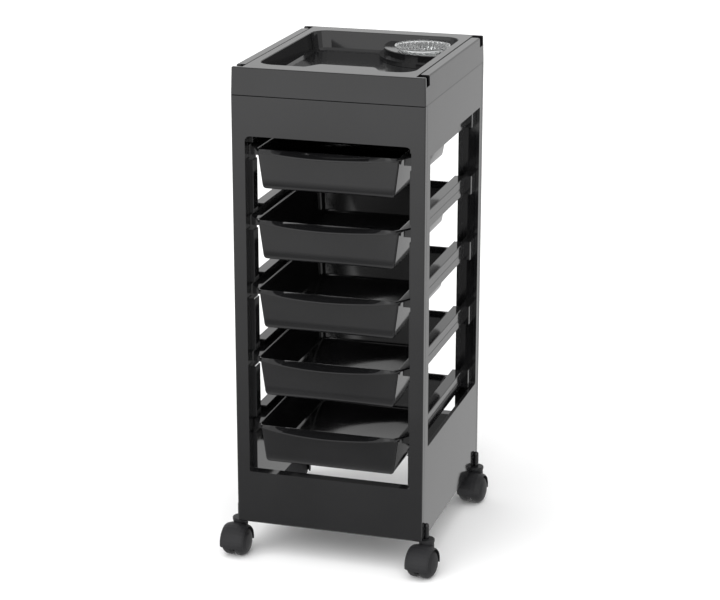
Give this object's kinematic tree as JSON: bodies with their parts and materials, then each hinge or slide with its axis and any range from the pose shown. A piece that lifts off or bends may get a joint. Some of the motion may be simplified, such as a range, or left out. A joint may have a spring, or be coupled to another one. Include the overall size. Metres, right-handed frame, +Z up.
{
  "type": "rolling salon trolley",
  "caption": "Tall rolling trolley with open window sides, sliding drawers on ledge rails, a tray top with a cup holder and clear dish, and swivelling twin-wheel castors.",
  "frame": {"origin": "on the floor, under the middle of the bounding box", "axes": "+Z up; the drawers open towards -Y; +X is the right-hand side seen from the drawers' side"},
  "size_m": [0.4082, 0.423, 0.8589],
  "materials": {
    "black_gloss": "polished",
    "charcoal_plastic": "fine texture",
    "charcoal_tread": "fine texture",
    "zinc_steel": "zinc plated",
    "clear_plastic": "clear"
  },
  "bodies": {
    "body": {"front_frame": "black_gloss", "rear_frame": "black_gloss", "left_side_panel": "black_gloss", "right_side_panel": "black_gloss", "tray_top": "black_gloss", "left_accessory_rail": "black_gloss", "right_accessory_rail": "black_gloss", "cup_holder": "black_gloss", "front_left_pillar": "black_gloss", "front_right_pillar": "black_gloss", "rear_left_pillar": "black_gloss", "rear_right_pillar": "black_gloss", "left_rail_1": "black_gloss", "left_rail_2": "black_gloss", "left_rail_3": "black_gloss", "left_rail_4": "black_gloss", "left_rail_5": "black_gloss", "right_rail_1": "black_gloss", "right_rail_2": "black_gloss", "right_rail_3": "black_gloss", "right_rail_4": "black_gloss", "right_rail_5": "black_gloss", "front_right_castor_stem": "charcoal_tread", "front_left_castor_stem": "charcoal_tread", "rear_right_castor_stem": "charcoal_tread", "rear_left_castor_stem": "charcoal_tread"},
    "drawer_1": {"drawer_1": "black_gloss"},
    "drawer_2": {"drawer_2": "black_gloss"},
    "drawer_3": {"drawer_3": "black_gloss"},
    "drawer_4": {"drawer_4": "black_gloss"},
    "drawer_5": {"drawer_5": "black_gloss"},
    "clear_dish": {"clear_dish": "clear_plastic"},
    "front_right_castor": {"front_right_castor_hood": "charcoal_plastic", "front_right_castor_axle": "zinc_steel"},
    "front_right_left_wheel": {"front_right_left_wheel": "charcoal_tread"},
    "front_right_right_wheel": {"front_right_right_wheel": "charcoal_tread"},
    "front_left_castor": {"front_left_castor_hood": "charcoal_plastic", "front_left_castor_axle": "zinc_steel"},
    "front_left_left_wheel": {"front_left_left_wheel": "charcoal_tread"},
    "front_left_right_wheel": {"front_left_right_wheel": "charcoal_tread"},
    "rear_right_castor": {"rear_right_castor_hood": "charcoal_plastic", "rear_right_castor_axle": "zinc_steel"},
    "rear_right_left_wheel": {"rear_right_left_wheel": "charcoal_tread"},
    "rear_right_right_wheel": {"rear_right_right_wheel": "charcoal_tread"},
    "rear_left_castor": {"rear_left_castor_hood": "charcoal_plastic", "rear_left_castor_axle": "zinc_steel"},
    "rear_left_left_wheel": {"rear_left_left_wheel": "charcoal_tread"},
    "rear_left_right_wheel": {"rear_left_right_wheel": "charcoal_tread"}
  },
  "joints": [
    {"name": "drawer_1_slide", "type": "slide", "parent": "body", "child": "drawer_1", "axis": [0, -1, 0], "range_m": [0, 0.28]},
    {"name": "drawer_2_slide", "type": "slide", "parent": "body", "child": "drawer_2", "axis": [0, -1, 0], "range_m": [0, 0.28]},
    {"name": "drawer_3_slide", "type": "slide", "parent": "body", "child": "drawer_3", "axis": [0, -1, 0], "range_m": [0, 0.28]},
    {"name": "drawer_4_slide", "type": "slide", "parent": "body", "child": "drawer_4", "axis": [0, -1, 0], "range_m": [0, 0.28]},
    {"name": "drawer_5_slide", "type": "slide", "parent": "body", "child": "drawer_5", "axis": [0, -1, 0], "range_m": [0, 0.28]},
    {"name": "clear_dish_lift", "type": "slide", "parent": "body", "child": "clear_dish", "axis": [0, 0, 1], "range_m": [0, 0.1]},
    {"name": "front_right_swivel", "type": "hinge", "parent": "body", "child": "front_right_castor", "pos_m": [0.1806, -0.1575, 0.05], "axis": [0, 0, 1], "continuous": true},
    {"name": "front_right_left_wheel_spin", "type": "hinge", "parent": "front_right_castor", "child": "front_right_left_wheel", "pos_m": [0.17778, -0.17528, 0.025], "axis": [0.9877, -0.1564, 0], "continuous": true},
    {"name": "front_right_right_wheel_spin", "type": "hinge", "parent": "front_right_castor", "child": "front_right_right_wheel", "pos_m": [0.17778, -0.17528, 0.025], "axis": [0.9877, -0.1564, 0], "continuous": true},
    {"name": "front_left_swivel", "type": "hinge", "parent": "body", "child": "front_left_castor", "pos_m": [-0.1544, -0.1575, 0.05], "axis": [0, 0, 1], "continuous": true},
    {"name": "front_left_left_wheel_spin", "type": "hinge", "parent": "front_left_castor", "child": "front_left_left_wheel", "pos_m": [-0.15534, -0.17547, 0.025], "axis": [0.9986, -0.0523, 0], "continuous": true},
    {"name": "front_left_right_wheel_spin", "type": "hinge", "parent": "front_left_castor", "child": "front_left_right_wheel", "pos_m": [-0.15534, -0.17547, 0.025], "axis": [0.9986, -0.0523, 0], "continuous": true},
    {"name": "rear_right_swivel", "type": "hinge", "parent": "body", "child": "rear_right_castor", "pos_m": [0.1806, 0.1895, 0.05], "axis": [0, 0, 1], "continuous": true},
    {"name": "rear_right_left_wheel_spin", "type": "hinge", "parent": "rear_right_castor", "child": "rear_right_left_wheel", "pos_m": [0.17903, 0.17157, 0.025], "axis": [0.9962, -0.0872, 0], "continuous": true},
    {"name": "rear_right_right_wheel_spin", "type": "hinge", "parent": "rear_right_castor", "child": "rear_right_right_wheel", "pos_m": [0.17903, 0.17157, 0.025], "axis": [0.9962, -0.0872, 0], "continuous": true},
    {"name": "rear_left_swivel", "type": "hinge", "parent": "body", "child": "rear_left_castor", "pos_m": [-0.1544, 0.1895, 0.05], "axis": [0, 0, 1], "continuous": true},
    {"name": "rear_left_left_wheel_spin", "type": "hinge", "parent": "rear_left_castor", "child": "rear_left_left_wheel", "pos_m": [-0.16999, 0.1805, 0.025], "axis": [0.5, -0.866, 0], "continuous": true},
    {"name": "rear_left_right_wheel_spin", "type": "hinge", "parent": "rear_left_castor", "child": "rear_left_right_wheel", "pos_m": [-0.16999, 0.1805, 0.025], "axis": [0.5, -0.866, 0], "continuous": true}
  ]
}
